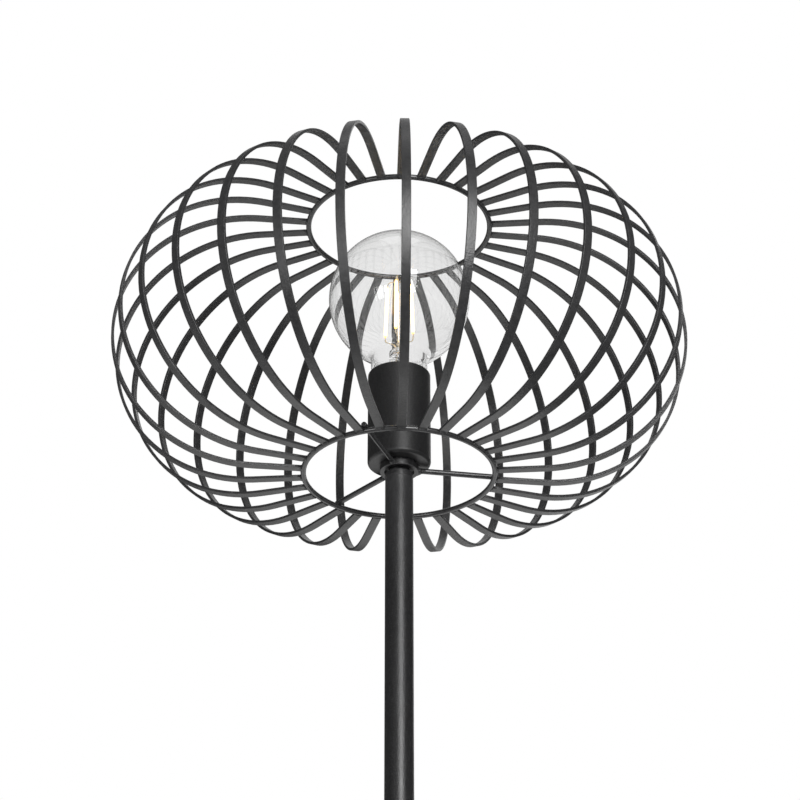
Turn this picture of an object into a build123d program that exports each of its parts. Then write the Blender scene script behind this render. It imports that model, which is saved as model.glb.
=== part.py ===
"""Wire cage floor lamp, in millimetres.

A round steel plate carries a pole of three screwed tubes. On the pole top sits
the cage: thirty flat ribs between two wire rings, held by a hub on three rods.
Above the hub a drawn cover hides the lampholder, and a clear filament bulb
screws into it.

Origin: centre of the underside, on the floor. +Z is up, the front is -Y, and
the cord inlet is at the back, towards +Y.
"""

import os
from math import sqrt

from build123d import *

# ---------------------------------------------------------------- dimensions
overall_height = 1520.0

# Cage: strips bent to a half circle, with a flat run in to each ring
cage_diameter = 400.0
cage_height = 201.0
rib_count = 30
rib_width = 6.0
rib_thickness = 2.0
rib_phase_deg = 1.3
ring_radius = 65.0
ring_wire = 3.8

# Spider: three rods lie on the lower ring and carry the hub
rod_count = 3
rod_wire = 3.8
rod_phase_deg = -20.0
rod_overhang = 1.5
weld_depth = 0.3
hub_diameter = 26.4
hub_thickness = 4.8
hub_recess_diameter = 20.0
hub_recess_depth = 2.9
spacer_diameter = 22.0
spacer_thickness = 0.6

# Pole: equal tubes, bushes pressed into their ends, nipples screwed between
tube_diameter = 19.0
tube_wall = 1.0
tube_count = 3
bush_length = 16.0
collar_height = 4.0
neck_gap = 1.3
pole_neck_diameter = 14.0
thread_diameter = 10.0
nipple_bore = 7.0
nipple_play = 1.0
hole_play = 0.5

# Base: flat plate, one countersunk screw, felt underneath
base_diameter = 280.0
base_thickness = 10.0
base_chamfer = 1.2
felt_thickness = 2.0
felt_margin = 4.0
felt_hole_diameter = 30.0
screw_head_diameter = 19.0
screw_head_height = 5.0
screw_bite = 12.0
socket_across_flats = 6.0
socket_depth = 3.0

# Cord inlet: a rubber bush in the back of the lowest tube
inlet_height = 34.0
inlet_bore = 6.2
inlet_neck = 8.4
inlet_flange = 12.0
inlet_flange_thickness = 1.6
inlet_lip = 2.0

# Inner lead and its two conductors
lead_diameter = 5.6
lead_bend_radius = 6.0
lead_end = 3.0
conductor_diameter = 1.9
conductor_pitch = 2.2

# Lampholder
cover_diameter = 43.2
cover_height = 69.6
cover_wall = 1.0
cover_edge_radius = 2.5
nut_across_flats = 14.0
nut_height = 3.5
holder_gap = 0.6
holder_base_height = 24.1
holder_base_wall = 3.0
insert_thickness = 9.0
skirt_drop = 4.0
shell_wall = 0.4
shell_drop = 1.0
strip_thickness = 0.5
strip_width = 6.0
contact_height = 5.0
contact_flat = 3.5
contact_bend_margin = 1.0
terminal_pitch = 20.0
terminal_head_diameter = 5.0
terminal_head_height = 1.8
terminal_shank_diameter = 3.0
terminal_plate_thickness = 1.5
terminal_plate_length = 8.0

# Bulb: clear globe with four filaments on a glass stem
globe_diameter = 95.0
bulb_height = 138.0
glass_wall = 0.8
neck_diameter = 37.0
neck_fillet = 5.0
cap_diameter = 26.0
cap_height = 27.0
cap_wall = 0.4
cap_seal = 3.0
cap_taper_height = 2.5
cap_mouth_diameter = 22.0
insulator_height = 3.0
insulator_nose_diameter = 12.0
insulator_plug_height = 1.5
tip_diameter = 9.4
tip_height = 1.5
tip_gap = 0.05
shell_play = 0.6
stem_foot_height = 2.0
stem_flare_height = 6.0
stem_diameter = 14.0
stem_height = 27.0
stem_taper_height = 5.0
stem_rod_diameter = 2.6
support_wire = 0.9
foot_rise = 9.0
head_rise = 4.0
filament_count = 4
filament_diameter = 2.2
filament_height = 41.0
filament_phase_deg = -14.0
filament_foot_radius = 10.0
filament_head_radius = 8.5
board_width = 14.0
board_height = 11.0
board_thickness = 1.2

# ------------------------------------------------------------ derived places
cage_radius = cage_diameter / 2
rib_arc_radius = (cage_height - rib_thickness) / 2
rib_arc_centre = (cage_diameter - cage_height) / 2
cage_centre_z = overall_height - rib_arc_radius - ring_wire / 2
upper_ring_z = cage_centre_z + rib_arc_radius
lower_ring_z = cage_centre_z - rib_arc_radius

rod_z = lower_ring_z + (ring_wire + rod_wire) / 2 - weld_depth
hub_bottom = rod_z - hub_thickness / 2
hub_seat = hub_bottom + hub_recess_depth
hub_top = hub_bottom + hub_thickness
spacer_top = hub_top + spacer_thickness

base_top = felt_thickness + base_thickness
collar_top = hub_bottom - neck_gap
tube_top = collar_top - collar_height
tube_length = (tube_top - base_top) / tube_count
tube_radius = tube_diameter / 2
tube_bore_radius = tube_radius - tube_wall
thread_radius = thread_diameter / 2
hole_radius = thread_radius + hole_play
nipple_bite = bush_length - nipple_play
inlet_z = base_top + inlet_height
inlet_end_y = tube_bore_radius - inlet_lip

cover_radius = cover_diameter / 2
cover_floor = spacer_top + cover_wall
cover_top = spacer_top + cover_height
nut_top = cover_floor + nut_height
nipple_top = nut_top + holder_base_wall
lead_top = nipple_top + lead_end
holder_radius = cover_radius - cover_wall - holder_gap
holder_base_top = nut_top + holder_base_height
insert_top = holder_base_top + insert_thickness
skirt_top = cover_top - skirt_drop
contact_top = insert_top + contact_height
terminal_x = terminal_pitch / 2
terminal_plate_bottom = holder_base_top - terminal_plate_thickness

bulb_foot = contact_top + tip_gap
cap_radius = cap_diameter / 2
cap_bore_radius = cap_radius - cap_wall
cap_bottom = bulb_foot + tip_height + insulator_height
cap_top = bulb_foot + cap_height
seal_bottom = cap_top - cap_seal
shell_bore_radius = cap_radius + shell_play
globe_radius = globe_diameter / 2
globe_z = bulb_foot + bulb_height - globe_radius
neck_radius = neck_diameter / 2
stem_top = seal_bottom + stem_height
filament_foot_z = stem_top + foot_rise
filament_head_z = filament_foot_z + filament_height
stem_rod_top = filament_head_z + head_rise


# ----------------------------------------------------------------- functions
def cylinder(radius, bottom, top):
    """Upright cylinder on the lamp's axis, between two heights."""
    return Pos(0, 0, bottom) * extrude(Circle(radius), top - bottom)


def pipe(outer_radius, inner_radius, bottom, top):
    """Upright tube on the lamp's axis, between two heights."""
    return cylinder(outer_radius, bottom, top) - cylinder(inner_radius, bottom, top)


def turned(*corners):
    """Solid turned about the lamp's axis from (radius, height) corners."""
    outline = Polyline(*[(radius, 0, height) for radius, height in corners], close=True)
    return revolve(make_face(outline), Axis.Z)


def rod_between(start, end, diameter):
    """Round rod from one point to another."""
    direction = Vector(*end) - Vector(*start)
    return extrude(Plane(start, z_dir=direction) * Circle(diameter / 2), direction.length)


def back_cylinder(diameter, start_y, end_y):
    """Cylinder towards the back (+Y) at the height of the cord inlet."""
    plane = Plane((0, start_y, inlet_z), z_dir=(0, 1, 0))
    return extrude(plane * Circle(diameter / 2), end_y - start_y)


def block(x_size, y_size, bottom, top):
    """Upright block on the lamp's axis, between two heights."""
    return Pos(0, 0, bottom) * extrude(Rectangle(x_size, y_size), top - bottom)


def spread(shape, count, phase_deg=0.0):
    """Copies of a shape, evenly turned about the lamp's axis."""
    return [Rot(0, 0, phase_deg + 360 / count * index) * shape for index in range(count)]


def both_terminals(shape):
    """A shape at each of the two terminals."""
    return [Pos(side * terminal_x, 0, 0) * shape for side in (-1, 1)]


def save(name, *solids):
    """Write one sub-part, as one or as several separate solids."""
    shape = solids[0] if len(solids) == 1 else Compound(children=list(solids))
    shape.label = name
    export_step(shape, f"parts/{name}.step")


# ---------------------------------------------------------------------- cage
def cage_ring(height):
    """Closed wire ring at one end of the ribs."""
    section = Plane.XZ * Pos(ring_radius, height) * Circle(ring_wire / 2)
    return revolve(section, Axis.Z)


def cage_rib():
    """One strip towards +X: flat run, half circle, flat run, seated on the rings."""
    run = rib_arc_centre - ring_radius
    half_circle = Pos(rib_arc_centre, cage_centre_z) * (
        Circle(rib_arc_radius + rib_thickness / 2) - Circle(rib_arc_radius - rib_thickness / 2)
    )
    inner_half = Pos(rib_arc_centre - cage_radius / 2, cage_centre_z) * Rectangle(cage_radius, cage_height)
    upper_run = Pos(ring_radius + run / 2, upper_ring_z) * Rectangle(run, rib_thickness)
    lower_run = Pos(ring_radius + run / 2, lower_ring_z) * Rectangle(run, rib_thickness)
    profile = half_circle - inner_half + upper_run + lower_run
    strip = extrude(Plane.XZ * profile, rib_width / 2, both=True)
    return strip - cage_ring(upper_ring_z) - cage_ring(lower_ring_z)


def spider_rod():
    """One rod towards the front, from the hub's edge to just past the ring."""
    end = ring_radius + ring_wire / 2 + rod_overhang
    rod = rod_between((0, 0, rod_z), (0, -end, rod_z), rod_wire)
    hub_space = cylinder(hub_diameter / 2, rod_z - rod_wire, rod_z + rod_wire)
    return rod - hub_space - cage_ring(lower_ring_z)


def spider_hub():
    """Thick washer with a recess below, seated on the neck of the pole's top bush."""
    hub = pipe(hub_diameter / 2, hole_radius, hub_bottom, hub_top)
    return hub - cylinder(hub_recess_diameter / 2, hub_bottom, hub_seat)


def make_cage():
    """Rings, ribs, spider and the spacer on the hub."""
    save("cage_ring_upper", cage_ring(upper_ring_z))
    save("cage_ring_lower", cage_ring(lower_ring_z))
    save("cage_ribs", *spread(Rot(0, 0, -90) * cage_rib(), rib_count, rib_phase_deg))
    save("spider_rods", *spread(spider_rod(), rod_count, rod_phase_deg))
    save("spider_hub", spider_hub())
    save("hub_spacer", pipe(spacer_diameter / 2, hole_radius, hub_top, spacer_top))


# ---------------------------------------------------------------------- pole
def tube_bottom(index):
    """Height at which a pole tube starts, counted from the base."""
    return base_top + index * tube_length


def pole_tube(index):
    """One tube of the pole; the lowest has the cord's hole at the back."""
    tube = pipe(tube_radius, tube_bore_radius, tube_bottom(index), tube_bottom(index + 1))
    if index == 0:
        tube -= back_cylinder(inlet_neck, 0, tube_diameter)
    return tube


def pole_bush(bottom):
    """Threaded bush pressed into a tube's end."""
    return pipe(tube_bore_radius, thread_radius, bottom, bottom + bush_length)


def top_bush():
    """Threaded bush with a collar on the pole's end and a neck that carries the hub."""
    bush = pole_bush(tube_top - bush_length)
    bush += pipe(tube_radius, thread_radius, tube_top, collar_top)
    return bush + pipe(pole_neck_diameter / 2, thread_radius, collar_top, hub_seat)


def pole_nipple(joint_z):
    """Threaded tube screwed into the two bushes at a joint of the pole."""
    return pipe(thread_radius, nipple_bore / 2, joint_z - nipple_bite, joint_z + nipple_bite)


def inlet_bush():
    """Rubber bush: a flange that follows the tube and a neck through its wall."""
    flange = back_cylinder(inlet_flange, 0, tube_radius + inlet_flange_thickness)
    flange -= cylinder(tube_radius, base_top, tube_top)
    neck = back_cylinder(inlet_neck, inlet_end_y, tube_radius + inlet_flange_thickness)
    return flange + neck - back_cylinder(inlet_bore, 0, tube_diameter)


def inner_lead():
    """Sheathed lead from the inlet bush, up the pole and into the lampholder."""
    start = (0, inlet_end_y, inlet_z)
    path = FilletPolyline(start, (0, 0, inlet_z), (0, 0, lead_top), radius=lead_bend_radius)
    section = Plane(start, z_dir=(0, -1, 0)) * Circle(lead_diameter / 2)
    return sweep(section, path)


def make_pole():
    """Tubes, bushes, nipples, cord inlet and inner lead."""
    for index in range(tube_count):
        save(f"pole_tube_{index + 1}", pole_tube(index))
    joints = [tube_bottom(index) for index in range(1, tube_count)]
    bush_bottoms = [base_top] + joints + [joint - bush_length for joint in joints]
    save("pole_bushes", *[pole_bush(bottom) for bottom in bush_bottoms])
    save("pole_nipples", *[pole_nipple(joint) for joint in joints])
    save("pole_top_bush", top_bush())
    save("holder_nipple", pipe(thread_radius, nipple_bore / 2, tube_top - nipple_bite, nipple_top))
    save("cord_inlet_bush", inlet_bush())
    save("inner_lead", inner_lead())


# ---------------------------------------------------------------------- base
def base_plate():
    """Steel disc with chamfered edges and a countersunk hole."""
    radius = base_diameter / 2
    return turned(
        (hole_radius, base_top),
        (radius - base_chamfer, base_top),
        (radius, base_top - base_chamfer),
        (radius, felt_thickness + base_chamfer),
        (radius - base_chamfer, felt_thickness),
        (screw_head_diameter / 2, felt_thickness),
        (hole_radius, felt_thickness + screw_head_height),
    )


def base_screw():
    """Countersunk socket screw from the plate into the lowest bush."""
    head_top = felt_thickness + screw_head_height
    screw = turned(
        (0, felt_thickness),
        (screw_head_diameter / 2, felt_thickness),
        (hole_radius, head_top),
        (thread_radius, head_top),
        (thread_radius, base_top + screw_bite),
        (0, base_top + screw_bite),
    )
    socket = RegularPolygon(socket_across_flats / 2, 6, major_radius=False)
    return screw - Pos(0, 0, felt_thickness) * extrude(socket, socket_depth)


def make_base():
    """Plate, screw and felt."""
    save("base_plate", base_plate())
    save("base_screw", base_screw())
    save("base_felt", pipe(base_diameter / 2 - felt_margin, felt_hole_diameter / 2, 0, felt_thickness))


# ---------------------------------------------------------------- lampholder
def holder_cover():
    """Drawn cup with a rounded lower edge, clamped on the spacer."""
    cup = cylinder(cover_radius, spacer_top, cover_top)
    cup = fillet(cup.edges().group_by(Axis.Z)[0], cover_edge_radius)
    hollow = cylinder(cover_radius - cover_wall, cover_floor, cover_top)
    hollow = fillet(hollow.edges().group_by(Axis.Z)[0], cover_edge_radius - cover_wall)
    return cup - hollow - cylinder(hole_radius, spacer_top, cover_top)


def lock_nut():
    """Thin hexagon nut that clamps cover, spacer and hub on the pole top."""
    hexagon = RegularPolygon(nut_across_flats / 2, 6, major_radius=False)
    nut = Pos(0, 0, cover_floor) * extrude(hexagon, nut_height)
    return nut - cylinder(thread_radius, cover_floor, nut_top)


def holder_base():
    """Cup with a threaded floor, holding the wiring space under the insert."""
    cavity = cylinder(holder_radius - holder_base_wall, nut_top + holder_base_wall, holder_base_top)
    return pipe(holder_radius, thread_radius, nut_top, holder_base_top) - cavity


def holder_insert():
    """Ceramic disc with a hole for each terminal screw."""
    disc = cylinder(holder_radius, holder_base_top, insert_top)
    for hole in both_terminals(cylinder(terminal_shank_diameter / 2, holder_base_top, insert_top)):
        disc -= hole
    return disc


def holder_shell():
    """Shell for the bulb's cap, with a tab under one terminal screw."""
    outer_radius = shell_bore_radius + shell_wall
    shell = pipe(outer_radius, shell_bore_radius, insert_top, skirt_top - shell_drop)
    tab_length = outer_radius - terminal_x + terminal_head_diameter / 2
    tab_top = insert_top + strip_thickness
    tab = Pos(tab_length / 2 - outer_radius, 0, 0) * block(tab_length, strip_width, insert_top, tab_top)
    tab &= cylinder(outer_radius, insert_top, tab_top)
    hole = cylinder(terminal_shank_diameter / 2, insert_top, tab_top)
    return shell + tab - Pos(-terminal_x, 0, 0) * hole


def centre_contact():
    """Sprung strip from the other terminal up to the bulb's tip."""
    foot_end = terminal_x + terminal_head_diameter / 2
    foot_start = terminal_x - terminal_head_diameter / 2 - contact_bend_margin
    under = contact_top - strip_thickness
    outline = Polyline(
        (foot_end, insert_top),
        (foot_start, insert_top),
        (contact_flat, under),
        (-contact_flat, under),
        (-contact_flat, contact_top),
        (contact_flat + strip_thickness, contact_top),
        (foot_start + strip_thickness, insert_top + strip_thickness),
        (foot_end, insert_top + strip_thickness),
        close=True,
    )
    strip = extrude(Plane.XZ * make_face(outline), strip_width / 2, both=True)
    hole = cylinder(terminal_shank_diameter / 2, insert_top, insert_top + strip_thickness)
    return strip - Pos(terminal_x, 0, 0) * hole


def terminal_screw():
    """Screw through a strip and the insert into its plate."""
    seat = insert_top + strip_thickness
    shank = cylinder(terminal_shank_diameter / 2, terminal_plate_bottom, seat)
    return shank + cylinder(terminal_head_diameter / 2, seat, seat + terminal_head_height)


def terminal_plate():
    """Plate under the insert that a conductor ends on."""
    plate = block(terminal_plate_length, strip_width, terminal_plate_bottom, holder_base_top)
    return plate - cylinder(terminal_shank_diameter / 2, terminal_plate_bottom, holder_base_top)


def conductor(side):
    """Core from the lead's end out to the inner edge of a terminal plate."""
    plate_x = terminal_x - terminal_plate_length / 2 + conductor_diameter / 2
    start = Vector(side * conductor_pitch / 2, 0, lead_top)
    end = Vector(side * plate_x, 0, terminal_plate_bottom)
    overrun = (end - start) * 0.5
    core = rod_between(tuple(start - overrun), tuple(end + overrun), conductor_diameter)
    return core & cylinder(holder_radius, lead_top, terminal_plate_bottom)


def make_holder():
    """Cover, nut, lampholder and its wiring."""
    save("holder_cover", holder_cover())
    save("lock_nut", lock_nut())
    save("holder_base", holder_base())
    save("holder_insert", holder_insert())
    save("holder_skirt", pipe(holder_radius, shell_bore_radius + shell_wall, insert_top, skirt_top))
    save("holder_shell", holder_shell())
    save("centre_contact", centre_contact())
    save("terminal_screws", *both_terminals(terminal_screw()))
    save("terminal_plates", *both_terminals(terminal_plate()))
    save("conductors", conductor(-1), conductor(1))


# ---------------------------------------------------------------------- bulb
def right_rectangle(width, bottom, top):
    """Rectangle from the axis outwards, between two heights of a half section."""
    return Pos(width / 2, (bottom + top) / 2) * Rectangle(width, top - bottom)


def glass_skin(inset):
    """Filled shape of the glass, drawn in by a wall's thickness."""
    shoulder = neck_radius - cap_bore_radius
    globe = Pos(0, globe_z) * Circle(globe_radius - inset)
    half = globe & right_rectangle(globe_diameter, bulb_foot, globe_z + globe_diameter)
    half += right_rectangle(neck_radius - inset, cap_top + inset, globe_z)
    lip = half.vertices().sort_by_distance((neck_radius, cap_top, 0))[0]
    half = fillet(lip, shoulder - inset)
    join_z = globe_z - sqrt(globe_radius**2 - neck_radius**2)
    join = half.vertices().sort_by_distance((neck_radius, join_z, 0))[0]
    half = fillet(join, neck_fillet + inset)
    half += right_rectangle(cap_bore_radius - inset, seal_bottom, cap_top + inset)
    return revolve(Plane.XZ * half, Axis.Z)


def bulb_cap():
    """Thin metal cap, drawn in to its mouth."""
    mouth_radius = cap_mouth_diameter / 2
    taper_top = cap_bottom + cap_taper_height
    return turned(
        (mouth_radius, cap_bottom),
        (cap_radius, taper_top),
        (cap_radius, cap_top),
        (cap_bore_radius, cap_top),
        (cap_bore_radius, taper_top),
        (mouth_radius - cap_wall, cap_bottom),
    )


def cap_insulator():
    """Black glass cone between cap and tip, plugging the cap's mouth."""
    nose_bottom = bulb_foot + tip_height
    mouth_radius = cap_mouth_diameter / 2
    plug_top = cap_bottom + insulator_plug_height
    return turned(
        (0, nose_bottom),
        (insulator_nose_diameter / 2, nose_bottom),
        (mouth_radius, cap_bottom),
        (mouth_radius - cap_wall, cap_bottom),
        (mouth_radius - cap_wall, plug_top),
        (0, plug_top),
    )


def bulb_stem():
    """Glass foot sealed in the neck, stem, and a thin rod up the middle."""
    foot_radius = cap_bore_radius - glass_wall
    foot_top = seal_bottom + stem_foot_height
    return turned(
        (0, seal_bottom),
        (foot_radius, seal_bottom),
        (foot_radius, foot_top),
        (stem_diameter / 2, foot_top + stem_flare_height),
        (stem_diameter / 2, stem_top - stem_taper_height),
        (stem_rod_diameter / 2, stem_top),
        (stem_rod_diameter / 2, stem_rod_top),
        (0, stem_rod_top),
    )


def filament():
    """One glowing rod, leaning in towards its head."""
    foot = (filament_foot_radius, 0, filament_foot_z)
    head = (filament_head_radius, 0, filament_head_z)
    return rod_between(foot, head, filament_diameter)


def support_wires():
    """Wires from the stem to a filament's foot and from the rod to its head."""
    foot = (filament_foot_radius, 0, filament_foot_z)
    head = (filament_head_radius, 0, filament_head_z)
    foot_wire = rod_between((0, 0, stem_top - stem_taper_height), foot, support_wire)
    head_wire = rod_between((0, 0, stem_rod_top - support_wire), head, support_wire)
    return [wire - bulb_stem() - filament() for wire in (foot_wire, head_wire)]


def make_bulb():
    """Glass, cap and everything inside the globe."""
    save("bulb_glass", glass_skin(0) - glass_skin(glass_wall))
    save("bulb_cap", bulb_cap())
    save("bulb_cap_insulator", cap_insulator())
    save("bulb_tip_contact", cylinder(tip_diameter / 2, bulb_foot, bulb_foot + tip_height))
    save("bulb_stem", bulb_stem())
    foot_wire, head_wire = support_wires()
    wires = spread(foot_wire, filament_count, filament_phase_deg)
    wires += spread(head_wire, filament_count, filament_phase_deg)
    save("filament_supports", *wires)
    save("led_filaments", *spread(filament(), filament_count, filament_phase_deg))
    board_bottom = cap_bottom + insulator_plug_height
    save("bulb_driver_board", block(board_width, board_thickness, board_bottom, board_bottom + board_height))


os.makedirs("parts", exist_ok=True)
make_base()
make_pole()
make_cage()
make_holder()
make_bulb()
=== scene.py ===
"""Wire cage floor lamp: the visible pieces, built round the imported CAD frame.

Every length is in metres, in the frame's own axes: +Z up, the front towards -Y.
The sub-assemblies are classes that hold their sizes and build their meshes, the
finishes are frozen dataclasses that build their materials, and Studio holds the
floor, the lamps, the world and the camera.
"""

import logging
import math
from dataclasses import dataclass
from enum import Enum

import bmesh
import bpy
from mathutils import Matrix, Vector


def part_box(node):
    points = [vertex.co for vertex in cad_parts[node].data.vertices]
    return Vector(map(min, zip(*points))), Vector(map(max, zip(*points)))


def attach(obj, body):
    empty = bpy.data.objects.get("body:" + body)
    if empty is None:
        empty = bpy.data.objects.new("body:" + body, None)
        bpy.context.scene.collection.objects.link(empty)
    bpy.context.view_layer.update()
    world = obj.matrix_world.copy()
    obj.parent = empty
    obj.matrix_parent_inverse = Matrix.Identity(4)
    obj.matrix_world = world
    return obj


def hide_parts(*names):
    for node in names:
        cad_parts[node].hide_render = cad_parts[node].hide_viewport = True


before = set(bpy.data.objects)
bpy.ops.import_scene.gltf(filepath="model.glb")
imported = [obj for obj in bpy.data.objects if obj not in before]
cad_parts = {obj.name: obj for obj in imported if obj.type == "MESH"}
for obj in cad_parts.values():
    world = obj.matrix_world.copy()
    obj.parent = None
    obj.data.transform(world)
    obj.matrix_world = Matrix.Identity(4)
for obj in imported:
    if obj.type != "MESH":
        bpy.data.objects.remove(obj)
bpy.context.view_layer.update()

log = logging.getLogger("lamp")

MM = 0.001
TAU = 2 * math.pi
SAME_PLACE = 1e-7
WHITE = (1.0, 1.0, 1.0, 1.0)

Point = tuple[float, float]
Triple = tuple[float, float, float]
Node = bpy.types.Node
Socket = bpy.types.NodeSocket
Tree = bpy.types.NodeTree
Material = bpy.types.Material
Piece = bpy.types.Object
Work = bmesh.types.BMesh


# ------------------------------------------------------------------ node help
class Wiring:
    """A node tree with short ways to add nodes and links."""

    MIX_INPUTS, MIX_RESULT = (0, 6, 7), 2  # where a Mix node keeps its share and its colours

    def __init__(self, tree: Tree) -> None:
        """Keep the tree that the nodes go into."""
        self.tree = tree

    def feed(self, node: Node, inputs: dict) -> None:
        """Fill a node's inputs.

        Args:
            node: the node to fill.
            inputs: values or sockets by input name or index.
        """
        for name, value in inputs.items():
            if isinstance(value, Socket):
                self.tree.links.new(value, node.inputs[name])
            else:
                node.inputs[name].default_value = value

    def add(self, kind: str, inputs: dict | None = None, **settings: object) -> Node:
        """Add one node.

        Args:
            kind: the node's type name.
            inputs: values or sockets by input name or index.
            settings: properties of the node itself.

        Returns:
            The new node.
        """
        node = self.tree.nodes.new(kind)
        for name, value in settings.items():
            setattr(node, name, value)
        self.feed(node, inputs or {})
        return node

    def math(self, operation: str, first: object, second: object, clamp: bool = False) -> Socket:
        """Add a Math node and return its result."""
        settings = {"operation": operation, "use_clamp": clamp}
        return self.add("ShaderNodeMath", {0: first, 1: second}, **settings).outputs[0]

    def times(self, first: object, second: object, clamp: bool = False) -> Socket:
        """Multiply two values."""
        return self.math("MULTIPLY", first, second, clamp)

    def plus(self, first: object, second: object) -> Socket:
        """Add two values and keep the sum between 0 and 1."""
        return self.math("ADD", first, second, True)

    def blend(self, share: object, *colours: Socket | Triple) -> Socket:
        """Mix two colours, plain or linked: a share of 0 gives the first, 1 the second."""
        values = (share, *[c if isinstance(c, Socket) else (*c, 1.0) for c in colours])
        inputs = dict(zip(self.MIX_INPUTS, values))
        return self.add("ShaderNodeMix", inputs, data_type="RGBA").outputs[self.MIX_RESULT]

    def ramp(self, value: object, low: float, high: float, start: float = 0.0, end: float = 1.0) -> Socket:
        """Map a value from low..high to start..end, smoothly and clamped."""
        spans = {"Value": value, "From Min": low, "From Max": high, "To Min": start, "To Max": end}
        return self.add("ShaderNodeMapRange", spans, interpolation_type="SMOOTHSTEP").outputs[0]

    def noise(self, where: Socket, scale: object, detail: float, **more: float) -> Socket:
        """Add a Noise Texture and return its value."""
        inputs = {"Vector": where, "Scale": scale, "Detail": detail, **more}
        return self.add("ShaderNodeTexNoise", inputs).outputs["Fac"]

    def seen(self) -> Socket:
        """Return 1 where the ray comes from the camera, from gloss or through glass."""
        path = self.add("ShaderNodeLightPath").outputs
        return self.plus(self.plus(path["Is Camera Ray"], path["Is Glossy Ray"]), path["Is Transmission Ray"])


def emptied(owner: Material | bpy.types.World) -> Wiring:
    """Clear the nodes of a material or a world.

    Args:
        owner: the material or world.

    Returns:
        The wiring of its empty tree.
    """
    owner.use_nodes = True
    owner.node_tree.nodes.clear()
    return Wiring(owner.node_tree)


class Surface(Wiring):
    """A material's own nodes: object coordinates, a Principled shader and the output."""

    def __init__(self, material: Material) -> None:
        """Clear a material and give it its three first nodes.

        Args:
            material: the material.
        """
        super().__init__(emptied(material).tree)
        self.where = self.add("ShaderNodeTexCoord").outputs["Object"]
        self.shader = self.add("ShaderNodeBsdfPrincipled")
        self.output = self.add("ShaderNodeOutputMaterial", {"Surface": self.shader.outputs[0]})

    def paint(self, inputs: dict) -> None:
        """Fill the shader's inputs."""
        self.feed(self.shader, inputs)

    def use(self, effect: Tree, **values: float) -> bpy.types.NodeOutputs:
        """Place a shared effect, its values by name with _ for a space, and return its outputs."""
        named = {label.replace("_", " "): value for label, value in values.items()}
        return self.add("ShaderNodeGroup", {"Vector": self.where, **named}, node_tree=effect).outputs

    def bump(self, height: Socket, depth: float) -> None:
        """Raise the surface by a height in metres."""
        inputs = {"Strength": 1.0, "Distance": depth, "Height": height}
        self.paint({"Normal": self.add("ShaderNodeBump", inputs).outputs[0]})


class Effect(Wiring):
    """A shader node group with a vector input, named values and named results."""

    def __init__(self, name: str, inputs: dict[str, float], outputs: tuple[str, ...]) -> None:
        """Start the group.

        Args:
            name: the group's name.
            inputs: value inputs and their defaults.
            outputs: value outputs.
        """
        super().__init__(bpy.data.node_groups.new(name, "ShaderNodeTree"))
        face = self.tree.interface
        face.new_socket("Vector", in_out="INPUT", socket_type="NodeSocketVector")
        for label, default in inputs.items():
            face.new_socket(label, in_out="INPUT", socket_type="NodeSocketFloat").default_value = default
        for label in outputs:
            face.new_socket(label, in_out="OUTPUT", socket_type="NodeSocketFloat")
        self.given = self.add("NodeGroupInput").outputs
        self.where, self.scale = self.given["Vector"], self.given["Scale"]
        self.result = self.add("NodeGroupOutput")

    def give(self, **results: Socket) -> Tree:
        """Link the results and return the group's tree."""
        self.feed(self.result, results)
        return self.tree


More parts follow.
